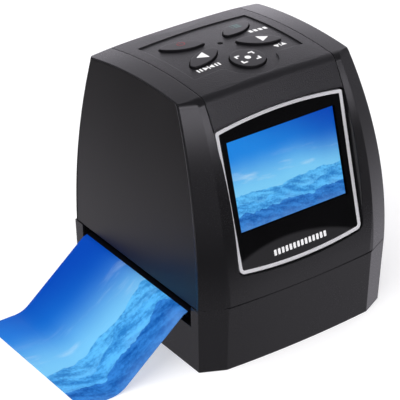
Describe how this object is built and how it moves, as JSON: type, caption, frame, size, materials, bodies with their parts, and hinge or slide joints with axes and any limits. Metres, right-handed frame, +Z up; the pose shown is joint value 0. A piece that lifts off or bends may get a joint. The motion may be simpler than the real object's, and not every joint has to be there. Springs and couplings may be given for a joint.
{
  "type": "film negative scanner",
  "caption": "Desktop film scanner with a sloping display window, leaf-shaped keys round a scan key, and a film strip running through a channel in its base.",
  "frame": {"origin": "middle of the flat underside of the base, on the surface it stands on", "axes": "+Z up, -Y towards the side with the display window, +X to the right as seen from that side; the film leaves along -X"},
  "size_m": [0.1327, 0.0871, 0.1033],
  "materials": {
    "case_plastic": "satin black, lightly textured",
    "fascia_plastic": "fine-textured grey black",
    "panel_plastic": "satin black",
    "key_plastic": "satin grey black with printed marks",
    "silver_trim": "fine satin silver",
    "window_black": "gloss black",
    "display_glass": "lit blue display",
    "display_holder": "pale grey",
    "light_pipe": "smoked",
    "circuit_board": "green solder mask",
    "component_black": "moulded black",
    "screw_steel": "plated",
    "socket_steel": "plated sheet",
    "tray_plastic": "matt charcoal",
    "diffuser": "opal white",
    "reflector": "gloss white",
    "led": "clear cream",
    "optics_black": "matt black",
    "lens_glass": "polished",
    "sensor": "glossy grey",
    "rubber": "matt",
    "film": "glossy printed blue"
  },
  "bodies": {
    "case": {"lower_case": "case_plastic", "upper_case": "case_plastic", "top_fascia": "fascia_plastic", "side_panel_left": "panel_plastic", "side_panel_right": "panel_plastic", "window_bezel": "silver_trim", "window_lens": "window_black", "display_panel": "display_glass", "display_frame": "display_holder", "status_light": "light_pipe", "key_board": "circuit_board", "key_switches": "component_black", "key_board_screws": "screw_steel", "film_deck": "tray_plastic", "film_tray": "tray_plastic", "film_gate": "tray_plastic", "light_board": "circuit_board", "light_leds": "led", "light_box": "reflector", "diffuser_plate": "diffuser", "light_hood": "optics_black", "lens_mount": "optics_black", "lens_barrel": "optics_black", "lens_glasses": "lens_glass", "sensor_board": "circuit_board", "image_sensor": "sensor", "optics_screws": "screw_steel", "main_board": "circuit_board", "board_chips": "component_black", "usb_socket": "socket_steel", "card_socket": "socket_steel", "main_board_screws": "screw_steel", "case_screws": "screw_steel", "rubber_feet": "rubber"},
    "power_key": {"power_key": "key_plastic"},
    "menu_key": {"menu_key": "key_plastic"},
    "left_key": {"left_key": "key_plastic"},
    "right_key": {"right_key": "key_plastic"},
    "scan_key": {"scan_key": "key_plastic"},
    "film_sheet": {"film_sheet": "film"}
  },
  "joints": [
    {"name": "power_key_press", "type": "slide", "parent": "case", "child": "power_key", "axis": [0, 0, -1], "range_m": [0, 0.0006], "stiffness_N_per_m": 800, "springref_m": -0.0006},
    {"name": "menu_key_press", "type": "slide", "parent": "case", "child": "menu_key", "axis": [0, 0, -1], "range_m": [0, 0.0006], "stiffness_N_per_m": 800, "springref_m": -0.0006},
    {"name": "left_key_press", "type": "slide", "parent": "case", "child": "left_key", "axis": [0, 0, -1], "range_m": [0, 0.0006], "stiffness_N_per_m": 800, "springref_m": -0.0006},
    {"name": "right_key_press", "type": "slide", "parent": "case", "child": "right_key", "axis": [0, 0, -1], "range_m": [0, 0.0006], "stiffness_N_per_m": 800, "springref_m": -0.0006},
    {"name": "scan_key_press", "type": "slide", "parent": "case", "child": "scan_key", "axis": [0, 0, -1], "range_m": [0, 0.0006], "stiffness_N_per_m": 800, "springref_m": -0.0006},
    {"name": "film_pull", "type": "slide", "parent": "case", "child": "film_sheet", "axis": [-1, 0, 0], "range_m": [0, 0.06]}
  ]
}
